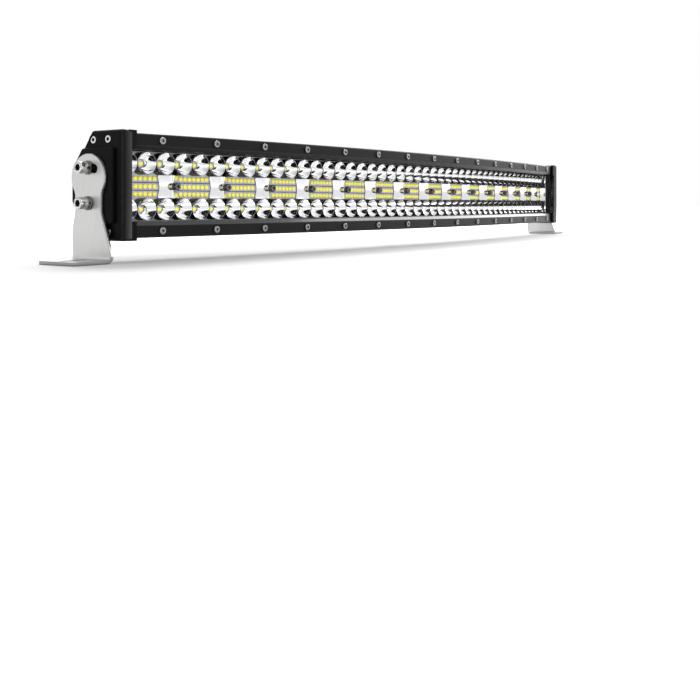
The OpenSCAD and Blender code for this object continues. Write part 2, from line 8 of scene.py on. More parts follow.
import bmesh
import bpy
import numpy as np
from mathutils.geometry import tessellate_polygon
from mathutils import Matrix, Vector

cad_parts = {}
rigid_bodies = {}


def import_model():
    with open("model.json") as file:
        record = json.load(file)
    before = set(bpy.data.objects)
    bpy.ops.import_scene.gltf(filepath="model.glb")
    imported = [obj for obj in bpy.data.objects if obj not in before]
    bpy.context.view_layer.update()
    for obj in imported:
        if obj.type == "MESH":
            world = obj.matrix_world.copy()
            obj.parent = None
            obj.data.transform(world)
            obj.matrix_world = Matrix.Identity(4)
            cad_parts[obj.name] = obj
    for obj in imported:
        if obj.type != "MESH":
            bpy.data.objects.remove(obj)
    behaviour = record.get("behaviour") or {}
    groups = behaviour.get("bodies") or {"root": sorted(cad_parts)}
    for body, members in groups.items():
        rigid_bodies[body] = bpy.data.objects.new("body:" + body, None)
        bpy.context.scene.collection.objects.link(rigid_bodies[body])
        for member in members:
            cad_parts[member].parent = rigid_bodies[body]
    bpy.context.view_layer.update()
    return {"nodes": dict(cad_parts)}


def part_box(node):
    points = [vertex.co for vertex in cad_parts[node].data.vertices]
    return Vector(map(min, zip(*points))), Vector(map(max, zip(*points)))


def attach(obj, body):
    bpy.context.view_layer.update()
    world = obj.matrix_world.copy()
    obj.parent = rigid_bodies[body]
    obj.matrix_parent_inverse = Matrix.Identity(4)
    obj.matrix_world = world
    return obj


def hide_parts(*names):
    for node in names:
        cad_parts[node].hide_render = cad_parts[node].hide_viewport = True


for spare in list(bpy.data.objects):
    bpy.data.objects.remove(spare)
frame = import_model()

# The view: a level camera low in front of the bar's left end. Its frame is shifted down, because the
# bar stands in the upper half of the picture and its upright edges run parallel.


def placed(name, data):
    """A new object of that data, put into the scene."""
    made = bpy.data.objects.new(name, data)
    bpy.context.collection.objects.link(made)
    return made


camera_data = bpy.data.cameras.new("view")
camera_data.sensor_width = 36
camera_data.lens = 49.81
camera_data.shift_y = -0.2091
camera_data.clip_start = 0.005
camera = placed("view", camera_data)
camera.location = (-0.8579, -0.5300, 0.0417)
camera.rotation_euler = (math.pi / 2, 0, -math.radians(55.915))
bpy.context.scene.camera = camera
bpy.context.scene.view_settings.view_transform = "Standard"


# The studio: a white floor that takes the bar's soft shadow, a white surround, and broad lamps in front of
# the bar, above it and at its right. Away from the shadow the floor shows as white as the surround.
class Shade:
    """A socket in a node tree. Arithmetic on it adds Math nodes, and node() adds any other node."""

    def __init__(self, tree, socket=None):
        self.tree, self.socket = tree, socket

    def node(self, kind, settings=(), inputs=(), out=0):
        """Adds a node: its settings first, then a value or a link on each named or numbered input."""
        made = self.tree.nodes.new("ShaderNode" + kind)
        for name, value in dict(settings).items():
            setattr(made, name, value)
        for key, value in dict(inputs).items():
            if isinstance(value, Shade):
                self.tree.links.new(value.socket, made.inputs[key])
            else:
                made.inputs[key].default_value = value
        if isinstance(out, tuple):
            return [Shade(self.tree, made.outputs[key]) for key in out]
        return Shade(self.tree, made.outputs[out])

    def math(self, operation, *values):
        return self.node("Math", {"operation": operation}, dict(enumerate(values)))

    def __add__(self, other):
        return self.math("ADD", self, other)

    __radd__ = __add__

    def __sub__(self, other):
        return self.math("SUBTRACT", self, other)

    def __rsub__(self, other):
        return self.math("SUBTRACT", other, self)

    def __mul__(self, other):
        return self.math("MULTIPLY", self, other)

    __rmul__ = __mul__

    def __lt__(self, other):
        return self.math("LESS_THAN", self, other)

    def __gt__(self, other):
        return self.math("GREATER_THAN", self, other)

    def __abs__(self):
        return self.math("ABSOLUTE", self)


def finish(name, **fixed):
    """A new material with fixed values on its shader, as (material, shader, Object coordinates)."""
    made = bpy.data.materials.new(name)
    made.use_nodes = True
    shader = made.node_tree.nodes["Principled BSDF"]
    for key, value in fixed.items():
        shader.inputs[key.replace("_", " ")].default_value = value
    return made, shader, Shade(made.node_tree).node("TexCoord", out="Object")


def feed(shader, **links):
    """Links Shades to the shader's inputs."""
    for key, shade in links.items():
        shade.tree.links.new(shade.socket, shader.inputs[key.replace("_", " ")])


def cloud(place, cycles, detail=2.0):
    """Noise from 0 to 1 with that many cycles a metre, all round or along X, Y and Z."""
    spread = place.node("Mapping", {}, {"Vector": place, "Scale": np.broadcast_to(cycles, 3).tolist()})
    return place.node("TexNoise", {}, {"Vector": spread, "Scale": 1.0, "Detail": detail})


def between(share, first, second):
    """A colour that runs from the first to the second, each fixed or a Shade, as share goes from 0 to 1."""
    first, second = (colour if isinstance(colour, Shade) else (*colour, 1) for colour in (first, second))
    return share.node("Mix", {"data_type": "RGBA"}, {0: share, 6: first, 7: second}, out=2)


def ramp(value, start, stop, top=1.0):
    """A value that runs from 0 at the start to the top at the stop, and no further."""
    return value.node("MapRange", {}, {"Value": value, "From Min": start, "From Max": stop, "To Max": top})


def shown(shade):
    """1 on rays from the camera, straight or by way of a mirror or a clear sheet, and 0 on other rays."""
    seen, mirrored, through = shade.node(
        "LightPath", out=("Is Camera Ray", "Is Glossy Ray", "Is Transmission Ray"))
    return (seen + mirrored + through) > 0.5


surround_light = 0.36
world = bpy.data.worlds.new("studio")
world.use_nodes = True
bpy.context.scene.world = world
backdrop = world.node_tree.nodes["Background"]
backdrop.inputs["Color"].default_value = (1, 1, 1, 1)
feed(backdrop, Strength=shown(Shade(world.node_tree)) * (1 - surround_light) + surround_light)

floor_white, floor_shader, floor_place = finish("studio_floor", Roughness=0.9, Specular_IOR_Level=0.0,
                                                Emission_Strength=1.0)
floor_x, floor_y = floor_place.node("SeparateXYZ", {}, {"Vector": floor_place}, out=("X", "Y"))
# Painted light on the floor: its glow, seen only on camera, mirror and clear rays, rises away from the bar to
# keep the floor white. It also rises towards +X, which paints the bar's shadow paler towards its right end.
glow = (ramp(abs(floor_y), 0.05, 0.9, 0.75) + ramp(abs(floor_x), 0.40, 1.3, 0.75)
        + ramp(floor_x, -0.45, 0.45, 0.32))
feed(floor_shader, Base_Color=between(cloud(floor_place, 6), (0.95, 0.95, 0.95), (0.97, 0.97, 0.97)),
     Emission_Color=between(shown(floor_place) * glow, (0, 0, 0), (1, 1, 1)))
floor_half, floor_z = 9, -1e-4
floor_mesh = bpy.data.meshes.new("studio_floor")
corners = [(x * floor_half, y * floor_half, floor_z) for x, y in ((-1, -1), (1, -1), (1, 1), (-1, 1))]
floor_mesh.from_pydata(corners, [], [(0, 1, 2, 3)])
floor_mesh.materials.append(floor_white)
floor = placed("studio_floor", floor_mesh)


def lamp(name, place, aim, size, power):
    """A square soft lamp at place that looks at aim."""
    data = bpy.data.lights.new(name, "AREA")
    data.size, data.energy = size, power
    made = placed(name, data)
    made.location = place
    away = np.subtract(place, aim)
    made.rotation_euler = (math.atan2(math.hypot(away[0], away[1]), away[2]), 0,
                           math.atan2(away[0], -away[1]))


lamp("key_lamp", place=(-0.9, -1.3, 1.5), aim=(0, 0, 0.05), size=1.2, power=9)
lamp("top_lamp", place=(0.6, 0.8, 1.4), aim=(-0.1, 0, 0.05), size=1.0, power=26)
lamp("side_lamp", place=(2.0, -0.42, 0.95), aim=(0.1, 0, 0.05), size=1.3, power=20)

# Housing: one black anodised aluminium extrusion, rolled to the bar's curve after it is pressed. It has
# a tray for the boards in front, a driver channel, and cooling fins with milled pockets behind.
mm = 0.001
sweep_r, sweep_n = 2400 * mm, 61
curve_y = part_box("upper_bezel")[0].y + sweep_r
housing_low, housing_high = (np.array(corner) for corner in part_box("housing"))
end_x = housing_high[0]
mid_z = (housing_low[2] + housing_high[2]) / 2
half_h = (housing_high[2] - housing_low[2]) / 2


def rounded(corners, radius, steps=2, most=0.42, hold=1.15):
    """Rounds a closed outline: corner c becomes (1-t)²a + 2t(1-t)c + t²b, where a and b lie at the radius
    from c along its two edges, within a share of the shorter one. A holding point just outside each keeps
    the flats flat, so that a corner gives steps + 3 points."""
    corners = np.asarray(corners, float)
    back, ahead = np.roll(corners, 1, 0) - corners, np.roll(corners, -1, 0) - corners
    back_l, ahead_l = np.linalg.norm(back, axis=1), np.linalg.norm(ahead, axis=1)
    reach = np.minimum(radius, most * np.minimum(back_l, ahead_l))
    to_a, to_b = back * (reach / back_l)[:, None], ahead * (reach / ahead_l)[:, None]
    t = np.linspace(0, 1, steps + 1)[None, :, None]
    curve = corners[:, None] + (1 - t) ** 2 * to_a[:, None] + t ** 2 * to_b[:, None]
    holds = corners[:, None] + hold * to_a[:, None], corners[:, None] + hold * to_b[:, None]
    return np.concatenate([holds[0], curve, holds[1]], 1).reshape(-1, 2)


def on_sweep(depth, height, x):
    """Section points carried along X: y = centre - sqrt((R - depth)² - x²), z = middle + height."""
    depth, height, x = np.broadcast_arrays(depth, height, x)
    return np.stack([x, curve_y - np.sqrt((sweep_r - depth) ** 2 - x ** 2), mid_z + height], -1)


def skin(rings, ends=True, round_again=False):
    """Points and faces over a (rings, points) grid of closed rings: quads between neighbours, and a flat
    face over each end ring, or the last ring joined to the first."""
    levels, n = rings.shape[:2]
    upper = np.arange(levels if round_again else levels - 1)[:, None] * n
    lower = (upper + n) % (levels * n)
    here, there = np.arange(n)[None], (np.arange(n)[None] + 1) % n
    faces = [np.stack([upper + here, upper + there, lower + there, lower + here], -1).reshape(-1, 4)]
    if ends and not round_again:
        faces += [np.arange(n)[None, ::-1], (levels - 1) * n + np.arange(n)[None]]
    return rings.reshape(-1, 3), faces


def filled(loops):
    """Triangles over a flat outline with holes, numbered in the order of the loops' points."""
    return [np.array(tessellate_polygon([[(*p, 0.0) for p in loop] for loop in loops]))]


def joined(shells):
    """Points of (points, groups of faces, finish number or one for each group) shells in one list, with
    their faces numbered on through it and a finish number for each face."""
    starts = np.cumsum([0] + [len(points) for points, groups, kind in shells])
    faces, kinds = [], []
    for (points, groups, kind), start in zip(shells, starts):
        for group, number in zip(groups, np.broadcast_to(kind, len(groups)).tolist()):
            faces += (group + start).tolist()
            kinds += [number] * len(group)
    return np.concatenate([points for points, groups, kind in shells]), faces, kinds


def piece(name, shells, finishes, body, nodes, sharp=40, marks=()):
    """A mesh of shells, with its faces turned outwards, its edges sharp above an angle in degrees and marks
    on its points, that rides on a body in place of the solids."""
    points, faces, kinds = joined(shells)
    mesh = bpy.data.meshes.new(name)
    mesh.from_pydata(points.tolist(), [], faces)
    mesh.polygons.foreach_set("material_index", kinds)
    for key, values in dict(marks).items():
        wide = np.ndim(values) == 2
        mark = mesh.attributes.new(key, "FLOAT_VECTOR" if wide else "FLOAT", "POINT")
        mark.data.foreach_set("vector" if wide else "value", np.asarray(values, np.float32).ravel())
    outwards = bmesh.new()
    outwards.from_mesh(mesh)
    bmesh.ops.recalc_face_normals(outwards, faces=outwards.faces)
    outwards.to_mesh(mesh)
    outwards.free()
    mesh.shade_smooth()
    mesh.set_sharp_from_angle(angle=math.radians(sharp))
    for material in finishes:
        mesh.materials.append(material)
    made = placed(name, mesh)
    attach(made, body)
    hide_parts(*nodes)


def relief(height, depth):
    """A bumped normal from a height field that is depth metres deep."""
    return height.node("Bump", {}, {"Height": height, "Distance": depth})


def black_metal(name, colour, edge_wear_and_highlight, rough, grain, depth, sheen=0.12):
    """Black finish on aluminium: faint clouds in the colour, a grain in gloss and relief, paler edges where
    the mark edge is 1, part wear and part painted highlight, and a gloss where the mark lip is 1."""
    made, shader, place = finish(name, Specular_IOR_Level=sheen, Coat_Roughness=0.15)
    clouds, fine = cloud(place, 30, 4), cloud(place, grain, 3)
    edge, lip = (place.node("Attribute", {"attribute_name": key}, out="Fac") for key in ("edge", "lip"))
    base = between(clouds, colour, [1.5 * c for c in colour])
    # The edge colour, mixed in where the mark edge is 1, is part wear and part painted highlight on the
    # rounded edges.
    feed(shader, Base_Color=between(edge * cloud(place, 400), base, edge_wear_and_highlight),
         Roughness=fine * 0.16 + clouds * 0.06 + (rough - 0.11), Normal=relief(fine, depth),
         Coat_Weight=lip * (0.8 + clouds * 0.2))
    return made


black_anodised = black_metal("black_anodised", (0.004, 0.004, 0.0044), (0.03, 0.03, 0.032), rough=0.40,
                             grain=(9, 900, 900), depth=6e-6)

chamfer_s, chamfer_k = 26.5 * mm, 1.4
housing_d, seat_s, floor_s, back_s, fin_root_s = 44.5 * mm, 7.5 * mm, 29.1 * mm, 40.5 * mm, 32.3 * mm
fin_pitch, fin_gap, edge_r = 5.2 * mm, 3.2 * mm, 0.45 * mm
lens_z, cavity_z, bezel_t = 30.6 * mm, 26.2 * mm, 3 * mm
fin_k = np.arange(4, -1, -1)
slot_edge = ((fin_k + 0.5) * fin_pitch)[:, None] + np.array([1, 1, -1, -1]) * fin_gap / 2
slot_outer = np.minimum(chamfer_s + (half_h - slot_edge) / chamfer_k, housing_d)
slot_root = np.where(fin_k < 3, back_s, fin_root_s)[:, None] + 0 * slot_edge
fin_s = np.where([True, False, False, True], slot_outer, slot_root).ravel()
upper_back = np.concatenate([[[bezel_t, half_h], [chamfer_s, half_h]],
                             np.stack([fin_s, slot_edge.ravel()], 1)])
tray = np.array([[bezel_t, lens_z], [seat_s, lens_z], [seat_s, cavity_z], [floor_s, cavity_z]])
flip = np.array([1, -1])
housing_loop = rounded(np.concatenate([upper_back, upper_back[::-1] * flip, tray * flip, tray[::-1]]), edge_r)
# Middle point of each rounded corner of the section: marked edge, for the paler colour that is part wear and
# part painted highlight.
housing_edge = np.tile([0, 0, 1, 0, 0], len(housing_loop) // 5)


def box_loop(a0, a1, b0, b1, radius=0.6 * mm, steps=2):
    """A rounded oblong outline, from a0 to a1 one way and from b0 to b1 the other."""
    return rounded([[a0, b0], [a1, b0], [a1, b1], [a0, b1]], radius, steps)


channel_s, channel_z = (31.3 * mm, 38.5 * mm), 14.3 * mm
side_s, side_in, side_out = (15 * mm, 22.5 * mm), 29.5 * mm, 34.25 * mm
hollows = [box_loop(*channel_s, -channel_z, channel_z), box_loop(*side_s, -side_out, -side_in),
           box_loop(*side_s, side_in, side_out)]

pitch = 50.8 * mm
module_a = pitch / sweep_r
pocket_r, pocket_margin, pocket_n = 13 * mm, 0.4 * mm, 66
pocket_angles = (0.0, 1.5 * module_a)
pocket_steps = np.linspace(-pocket_r - pocket_margin, pocket_r + pocket_margin, pocket_n)
run = np.linspace(-end_x, end_x, sweep_n)
stations = np.concatenate([run] + [(sweep_r - back_s) * math.sin(a) + pocket_steps for a in pocket_angles])
stations = np.unique(np.round(stations, 6))
depth = np.broadcast_to(housing_loop[:, 0], (len(stations), len(housing_loop)))
for angle in pocket_angles:
    along = (np.arcsin(stations[:, None] / (sweep_r - depth)) - angle) * (sweep_r - depth)
    inside = along ** 2 + housing_loop[None, :, 1] ** 2 < pocket_r ** 2
    depth = np.where(inside, np.minimum(depth, back_s), depth)
housing_rings = on_sweep(depth, housing_loop[None, :, 1], stations[:, None])
shells = [(*skin(housing_rings, ends=False), 0)]
shells += [(*skin(on_sweep(h[None, :, 0], h[None, :, 1], run[:, None]), ends=False), 0) for h in hollows]
end_loops = [housing_loop] + hollows
end_s, end_h = np.concatenate(end_loops).T
shells += [(on_sweep(end_s, end_h, x), filled(end_loops), 0) for x in (-end_x, end_x)]
edge = np.zeros(sum(len(points) for points, faces, kind in shells))
edge[:len(stations) * len(housing_loop)] = np.tile(housing_edge, len(stations))
piece("housing_extrusion", shells, [black_anodised], "bar", ["housing"],
      marks={"edge": edge})

# Driver boards: three green glass-fibre boards in the channel, with wound inductors, aluminium cans,
# moulded power chips, and tinned copper pins through to the emitter boards.


def dress(material, *nodes):
    """Puts a finish on solids whose own shape stays in view."""
    for name in nodes:
        mesh = frame["nodes"][name].data
        mesh.materials.clear()
        mesh.materials.append(material)


def grained(name, first, second, cycles, rough, span, depth=0.0, detail=3, **fixed):
    """A finish with one noise in its colour, in its roughness from rough by the span, and in its relief."""
    made, shader, place = finish(name, **fixed)
    grain = cloud(place, cycles, detail)
    feed(shader, Base_Color=between(grain, first, second), Roughness=grain * span + rough)
    if depth:
        feed(shader, Normal=relief(grain, depth))
    return made


green_mask, green_shader, green_place = finish("driver_board_green", Specular_IOR_Level=0.5)
tracks = abs(cloud(green_place, (420, 60, 420), 1) - 0.5) < 0.035
feed(green_shader, Base_Color=between(tracks, (0.012, 0.10, 0.035), (0.05, 0.24, 0.09)),
     Roughness=cloud(green_place, 300) * 0.2 + 0.25, Normal=relief(tracks, 2e-5))
dress(green_mask, "driver_boards")
dress(grained("sintered_ferrite", (0.03, 0.03, 0.032), (0.09, 0.09, 0.095), cycles=2500,
              rough=0.55, span=0.2, depth=3e-5), "driver_inductors")
dress(grained("bare_aluminium_can", (0.55, 0.56, 0.58), (0.72, 0.73, 0.75), cycles=(900, 60, 900),
              rough=0.2, span=0.2, detail=2, Metallic=1.0), "driver_capacitors")
dress(grained("moulded_chip", (0.012, 0.012, 0.013), (0.03, 0.03, 0.032), cycles=4000, detail=2,
              rough=0.5, span=0.2, depth=1e-5), "driver_chips")
dress(grained("tinned_copper", (0.75, 0.42, 0.24), (0.80, 0.76, 0.70), cycles=(700, 300, 700),
              rough=0.15, span=0.25, Metallic=1.0), "board_links")

# Thermal pads: soft grey sheets of silicone filled with ceramic powder. They are cut to size and pressed
# between the emitter boards and the housing.
dress(grained("thermal_pad_grey", (0.24, 0.26, 0.30), (0.38, 0.40, 0.44), cycles=1800,
              rough=0.7, span=0.15, depth=2e-5, Specular_IOR_Level=0.3), "thermal_pads")

# Emitter boards: aluminium-cored boards under white solder mask, with dark printed lines between the
# rows of emitters. They lie on the pads, one behind each reflector.
strips, modules = 5, 15
line_z, line_w, band_w = 2.95 * mm, 0.35 * mm, 1.3 * mm
# The board also glows faintly in its own colours though it is no lamp: a painted glow that brightens it.
board_white, board_shader, board_place = finish("emitter_board_white", Specular_IOR_Level=0.45,
                                                Emission_Strength=0.13)
board_z = board_place.node("SeparateXYZ", {}, {"Vector": board_place}, out="Z")
from_line = abs(abs(board_z - mid_z) - line_z)
row_line, row_band = from_line < line_w, from_line < band_w
mask_tone = between(cloud(board_place, 250), (0.84, 0.84, 0.96), (0.92, 0.92, 1.0))
row_tone = between(row_band, mask_tone, (0.72, 0.72, 0.92))
board_tone_and_glow = between(row_line, row_tone, (0.10, 0.10, 0.15))
feed(board_shader, Base_Color=board_tone_and_glow, Emission_Color=board_tone_and_glow,
     Roughness=cloud(board_place, 800) * 0.2 + 0.35, Normal=relief(row_line, -2e-5))
dress(board_white, *("led_board_%d" % n for n in range(1, strips + 1)))

# Emitters: pale ceramic packages with a gel dome of yellow phosphor, soldered to the boards. Small ones
# stand in three rows in each middle bowl, and one bigger one in each cup.
board_s = 27 * mm
module_angles = (np.arange(modules) - (modules - 1) / 2) * module_a


def in_modules(points, angles):
    """Copies of points (x, depth, height) on modules at those angles of the sweep:
    x' = x cos a + (R - depth) sin a and y' = centre + x sin a - (R - depth) cos a."""
    x, depth, height = np.moveaxis(np.asarray(points, float), -1, 0)
    a = np.reshape(angles, (-1,) + (1,) * x.ndim)
    return np.stack([x * np.cos(a) + (sweep_r - depth) * np.sin(a),
                     curve_y + x * np.sin(a) - (sweep_r - depth) * np.cos(a),
                     mid_z + height + 0 * a], -1)


def repeated(copies, faces):
    """Points of equal copies in one list, and each group of faces numbered on through the copies."""
    count, n = copies.shape[0], copies.shape[1]
    shift = (np.arange(count) * n)[:, None, None]
    return copies.reshape(-1, 3), [(group[None] + shift).reshape(-1, group.shape[1]) for group in faces]


def copied(points, faces, places, angles):
    """Copies of a shell at places (x, depth, height) in the modules at those angles."""
    copies = in_modules(points + np.reshape(places, (-1, 1, 3)), angles)
    return repeated(copies.reshape(-1, len(points), 3), faces)


def round_angles(n):
    """Equal angles round a circle, from half a step on."""
    return (np.arange(n) + 0.5) * 2 * np.pi / n


def turned(levels, n, corners=6):
    """Rings round an axis from rows of (offset, radius, flatness): the radius at angle t is
    radius (1 - f + f cos(p/2) / cos(t mod p - p/2)) for p = 360°/corners. Gives (offset, across, up)."""
    offset, radius, flat = (np.array(levels, float)[:, k, None] for k in range(3))
    t = round_angles(n)
    p = 2 * np.pi / corners
    r = radius * (1 - flat + flat * np.cos(p / 2) / np.cos(t % p - p / 2))
    return np.stack([offset + 0 * r, r * np.cos(t), r * np.sin(t)], -1)


def emitter(width, height, thick, dome_r, dome_h):
    """A package plate with a softened front and its dome, as shells of (across, depth, up) points."""
    corner = math.sqrt(2)
    plate = turned([[-thick, 0.94 * corner, 1], [-0.8 * thick, corner, 1], [0, corner, 1]], 8, 4)
    plate = plate * np.array([1, width / 2, height / 2])
    dome = turned([[-thick, dome_r, 0], [-thick - 0.65 * dome_h, 0.78 * dome_r, 0],
                   [-thick - dome_h, 0.3 * dome_r, 0]], 10) * np.array([1, width / height, 1])
    return [skin(ring[..., [1, 0, 2]]) for ring in (plate, dome)]


ceramic, ceramic_shader, ceramic_place = finish("emitter_ceramic", Specular_IOR_Level=0.4)
feed(ceramic_shader, Base_Color=between(cloud(ceramic_place, 900), (0.80, 0.74, 0.60), (0.90, 0.85, 0.70)),
     Roughness=cloud(ceramic_place, 2000) * 0.2 + 0.4)
# The unlit phosphor glows in its own colour: a painted glow that brightens the emitters deep in their cups.
phosphor, phosphor_shader, phosphor_place = finish("yellow_phosphor", Specular_IOR_Level=0.45,
                                                   Emission_Strength=0.65)
phosphor_grain = cloud(phosphor_place, 2600)
phosphor_tone_and_glow = between(phosphor_grain, (0.86, 0.77, 0.04), (0.97, 0.95, 0.15))
feed(phosphor_shader, Base_Color=phosphor_tone_and_glow, Emission_Color=phosphor_tone_and_glow,
     Roughness=phosphor_grain * 0.2 + 0.2)

row_h = cup_pitch = pitch / 3
flood_n, block_w, flood_dz = 7, 30 * mm, 0.35 * row_h
three = np.array([-1, 0, 1])


def emitters(name, xs, zs, shells, node, sink=0.01 * mm):
    """One piece of like emitters: each shell copied to a grid of places in all modules, a little sunk."""
    places = np.stack(np.meshgrid(xs, [board_s - sink], zs, indexing="ij"), -1)
    made = [(*copied(*shell, places, module_angles), kind) for kind, shell in enumerate(shells)]
    piece(name, made, [ceramic, phosphor], "bar", [node], sharp=50)


emitters("flood_emitters", (np.arange(flood_n) - (flood_n - 1) / 2) * block_w / flood_n, three * flood_dz,
         emitter(width=3.86 * mm, height=3.8 * mm, thick=0.5 * mm, dome_r=1.78 * mm, dome_h=0.6 * mm),
         "flood_leds")
spot = emitter(width=3.5 * mm, height=3.5 * mm, thick=0.8 * mm, dome_r=1.65 * mm, dome_h=1.7 * mm)
emitters("upper_spot_emitters", three * cup_pitch, [row_h], spot, "upper_spot_leds")
emitters("lower_spot_emitters", three * cup_pitch, [-row_h], spot, "lower_spot_leds")

# Reflectors: five black moulded strips whose bowls have a vacuum-metallised mirror skin. Each module has
# three round cups above and three below a long bowl, and a ridge with a screw between the bowls.
mirror, mirror_shader, mirror_place = finish("mirror_skin", Metallic=1.0)
ripple = cloud(mirror_place, 120)
feed(mirror_shader, Base_Color=between(ripple, (0.94, 0.94, 0.95), (0.975, 0.975, 0.98)),
     Roughness=cloud(mirror_place, 500) * 0.05 + 0.03, Normal=relief(ripple, 1.5e-5))
thin_skin, thin_shader, thin_place = finish("thin_mirror_skin", Metallic=1.0)
thin_ripple = cloud(thin_place, (500, 500, 260))
feed(thin_shader, Roughness=thin_ripple * 0.15 + 0.28,
     Base_Color=between(ramp(thin_ripple, 0.42, 0.58), (0.012, 0.012, 0.013), (0.10, 0.10, 0.17)))
satin = grained("satin_mirror_skin", (0.82, 0.82, 0.84), (0.92, 0.92, 0.93), cycles=160, detail=2,
                rough=0.12, span=0.08, depth=2e-5, Metallic=1.0)
collar_satin = grained("satin_collar", (0.40, 0.40, 0.52), (0.55, 0.55, 0.66), cycles=900, detail=2,
                       rough=0.4, span=0.2, Specular_IOR_Level=0.4)
moulding = grained("black_moulding", (0.005, 0.005, 0.005), (0.014, 0.014, 0.014), cycles=900,
                   rough=0.4, span=0.2, depth=8e-6, Specular_IOR_Level=0.2)
strip_finishes = [mirror, moulding, collar_satin, satin, thin_skin]
in_mirror, in_moulding, in_collar, in_satin, in_thin = range(len(strip_finishes))

cup_h, cup_lift, rim_drop, skirt_h = 9 * mm, 0.3 * mm, 0.05 * mm, 8.9 * mm
reflector_s = board_s - cup_h
cup_r0, cup_r1, wall_r, skirt_r = 2.7 * mm, 8.15 * mm, 8.42 * mm, 3.1 * mm
cup_a, cup_t = round_angles(44), np.linspace(0, 1, 14) ** 1.15
rim = np.array([[cup_r1 + 0.08 * mm, 0.02 * mm], [cup_r1 + 0.18 * mm, 0], [wall_r - 0.05 * mm, 0.02 * mm],
                [wall_r, 0.12 * mm], [wall_r, skirt_h], [skirt_r, skirt_h]])


def cup_rings(side):
    """One cup about its own axis: the bowl r³ = r0³ + (r1³ - r0³) t up to the rim, the rim's round wall,
    and the skirt back down to the board."""
    bowl_r = np.cbrt(cup_r0 ** 3 + (cup_r1 ** 3 - cup_r0 ** 3) * cup_t)
    bowl_s = board_s - cup_lift - (cup_h - cup_lift - rim_drop) * cup_t
    radius = np.concatenate([bowl_r, rim[:, 0]])[:, None]
    depth = np.concatenate([bowl_s, reflector_s + rim[:, 1]])[:, None]
    x, z = radius * np.cos(cup_a), radius * np.sin(cup_a)
    return np.stack([x, depth + 0 * x, side * (row_h + z)], -1)


ridge_a, seat_n, slope_n = round_angles(56), 3, 16
half_pitch, bowl_r0, bowl_r1, bowl_z = 25.16 * mm, 17 * mm, 24.6 * mm, 8.5 * mm
seat_r, seat_edge, ridge_h, foot_h, foot_gap = 3.1 * mm, 0.2 * mm, 6.4 * mm, 0.75 * mm, 0.05 * mm
shaft_r, closed_r, half_reach = 1.7 * mm, 0.05 * mm, 0.5 * mm


def ridge_skin(hole_r):
    """The ridge between two modules, about the screw: a round seat, then the bowls' walls
    depth = board - f - (h - f) ((q - r0) / (r1 - r0))^1.2, where q is the distance to the nearer module's
    middle, and a bare upright foot of height f, whose faces are a group of their own."""
    cos, sin = np.abs(np.cos(ridge_a)), np.abs(np.sin(ridge_a))
    inside = (half_pitch * cos) ** 2 - half_pitch ** 2 + bowl_r0 ** 2
    reach = np.where(inside > 0, half_pitch * cos - np.sqrt(np.maximum(inside, 0)), 1.0)
    outer = np.minimum(reach, bowl_z / np.maximum(sin, 1e-6))
    share = np.linspace(0, 1, slope_n)[:, None]
    level = 0 * cos
    radius = np.concatenate([[level + hole_r, level + seat_r - seat_edge, level + seat_r],
                             seat_r + (outer - seat_r) * share, [outer, level + hole_r + 0.3 * mm]])
    x, z = radius * np.cos(ridge_a), radius * np.sin(ridge_a)
    q = np.hypot(half_pitch - np.abs(x), z)
    slope = np.clip((q - bowl_r0) / (bowl_r1 - bowl_r0), 0, 1) ** 1.2
    depth = board_s - foot_h - (ridge_h - foot_h) * slope
    depth[:2], depth[2], depth[-2:] = reflector_s, reflector_s + seat_edge, board_s - foot_gap
    points, (quads,) = skin(np.stack([x, depth, z], -1), round_again=True)
    foot = np.arange(len(quads)) // len(ridge_a) == seat_n + slope_n - 1
    return points, [quads[~foot], quads[foot]]


cups, outer_row = [], len(cup_t) + 3
for side in (-1, 1):
    points, (quads,) = skin(cup_rings(side), round_again=True)
    row = np.arange(len(quads)) // len(cup_a)
    thin = (row == outer_row) & (np.tile(np.sin(cup_a), len(quads) // len(cup_a)) < -0.3)
    bowl = (row > 0) & (row < len(cup_t))
    cups.append((points, [quads[row == 0], quads[bowl], quads[(row >= len(cup_t)) & ~thin], quads[thin]]))
ridge, half_ridge = ridge_skin(shaft_r), ridge_skin(closed_r)
wall_x, wall_t, wall_s, wall_z = 25.3 * mm, 1 * mm, (8 * mm, 27 * mm), 25.4 * mm
wall_loop = box_loop(wall_x, wall_x + wall_t, *wall_s, 0.3 * mm)
end_wall = skin(np.stack([np.insert(wall_loop, 2, z, 1) for z in (-wall_z, wall_z)]))
cup_places = three[:, None] * np.array([cup_pitch, 0, 0])
for n in range(strips):
    shells = [(*copied(*cup, cup_places, module_angles[3 * n:3 * n + 3]),
               [in_collar, in_mirror, in_moulding, in_thin]) for cup in cups]
    joints = (np.arange(max(3 * n, 1), 3 * n + 3) - modules / 2) * module_a
    shells.append((*copied(*ridge, [0, 0, 0], joints), [in_satin, in_moulding]))
    if n in (0, strips - 1):
        side = -1 if n == 0 else 1
        outward = np.array([side, 1, 1])
        half = np.minimum(half_ridge[0], [half_reach, 1, 1]) * outward
        half = in_modules(half, [side * modules / 2 * module_a])[0]
        shells.append((half, half_ridge[1], [in_satin, in_moulding]))
        wall = in_modules(end_wall[0] * outward, [side * (modules - 1) / 2 * module_a])[0]
        shells.append((wall, end_wall[1], in_mirror))
    piece("reflector_strip_%d" % (n + 1), shells, strip_finishes, "bar", ["reflector_%d" % (n + 1)],
          sharp=38)

# Reflector screws: dark plated steel cap screws with a hex socket, one on each ridge between two bowls.
# They hold the reflectors and the boards down on the housing.
# Dark plating on the reflector screws; on every other screw it lines the socket's walls and floor as painted
# shade.
dark_plate_and_socket_shade = grained("dark_plating_and_socket_shade", (0.09, 0.09, 0.092), (0.20, 0.20, 0.20), cycles=1500,
                     rough=0.2, span=0.25, depth=5e-6, Metallic=1.0)


